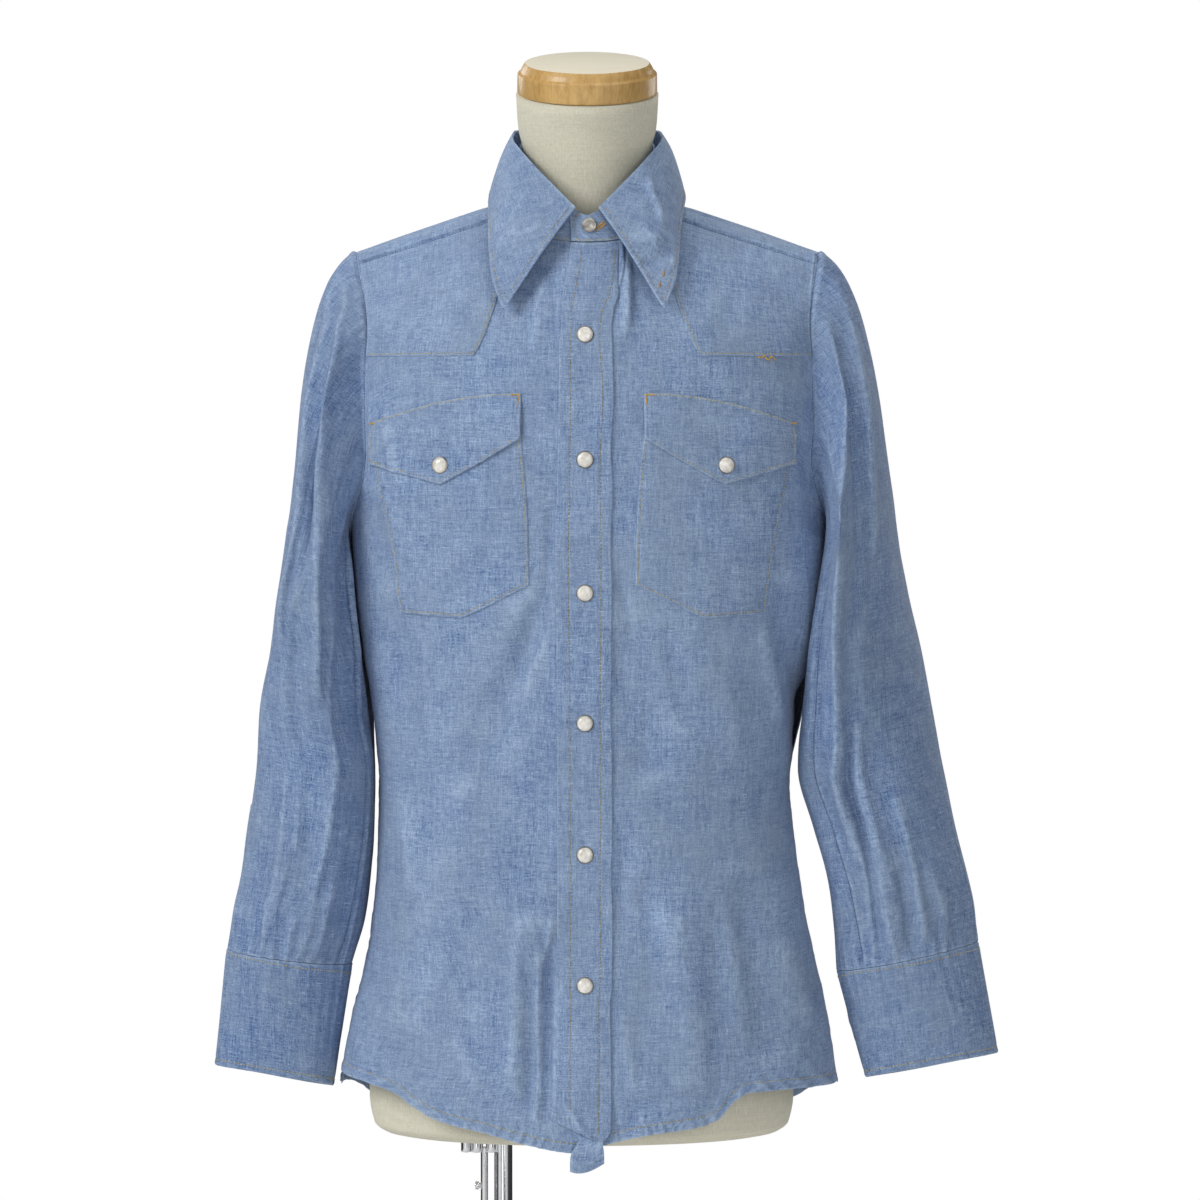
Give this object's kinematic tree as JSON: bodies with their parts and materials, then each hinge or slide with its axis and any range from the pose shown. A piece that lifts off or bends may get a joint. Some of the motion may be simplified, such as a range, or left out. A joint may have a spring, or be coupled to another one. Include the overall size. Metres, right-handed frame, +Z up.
{
  "type": "chambray western shirt on a limbless dress form with a stand",
  "caption": "Long-sleeved chambray western shirt with pointed yokes, flapped pockets and pearl snaps, closed on a limbless dress form on a round-based stand.",
  "frame": {"origin": "on the floor under the middle of the shirt, on the flat underside of the stand's base", "axes": "+Z up from the floor to the form's neck; -Y is the way the shirt's front faces; +X is towards the wearer's left sleeve"},
  "size_m": [0.6022, 0.38, 1.5252],
  "materials": {
    "chambray": "blue chambray with pale slubs",
    "thread": "tan top-stitching thread, matt",
    "snap_cap": "pearl, glossy",
    "snap_rim": "darkened nickel",
    "collar_button": "antique nickel",
    "form_linen": "undyed linen, taut",
    "form_wood": "pale beech, satin",
    "stand_chrome": "polished"
  },
  "bodies": {
    "root": {"front_right": "chambray", "front_left": "chambray", "back": "chambray", "yoke_back": "chambray", "yoke_front_right": "chambray", "yoke_front_left": "chambray", "placket": "chambray", "button_stand": "chambray", "pocket_right": "chambray", "pocket_left": "chambray", "flap_right": "chambray", "flap_left": "chambray", "sleeve_right": "chambray", "sleeve_left": "chambray", "cuff_right": "chambray", "cuff_left": "chambray", "sleeve_placket_right": "chambray", "sleeve_placket_left": "chambray", "collar_stand": "chambray", "collar_leaf": "chambray", "snap_front_1_rim": "snap_rim", "snap_front_1_cap": "snap_cap", "snap_front_2_rim": "snap_rim", "snap_front_2_cap": "snap_cap", "snap_front_3_rim": "snap_rim", "snap_front_3_cap": "snap_cap", "snap_front_4_rim": "snap_rim", "snap_front_4_cap": "snap_cap", "snap_front_5_rim": "snap_rim", "snap_front_5_cap": "snap_cap", "snap_front_6_rim": "snap_rim", "snap_front_6_cap": "snap_cap", "snap_pocket_right_rim": "snap_rim", "snap_pocket_right_cap": "snap_cap", "snap_pocket_left_rim": "snap_rim", "snap_pocket_left_cap": "snap_cap", "snap_cuff_right_1_rim": "snap_rim", "snap_cuff_right_1_cap": "snap_cap", "snap_cuff_right_2_rim": "snap_rim", "snap_cuff_right_2_cap": "snap_cap", "snap_cuff_left_1_rim": "snap_rim", "snap_cuff_left_1_cap": "snap_cap", "snap_cuff_left_2_rim": "snap_rim", "snap_cuff_left_2_cap": "snap_cap", "collar_button": "collar_button", "form_body": "form_linen", "form_neck_cap": "form_wood", "stand_pole": "stand_chrome", "stand_rod": "stand_chrome", "stand_bracket": "stand_chrome", "stand_knob": "stand_chrome", "stand_base": "stand_chrome"}
  },
  "joints": []
}
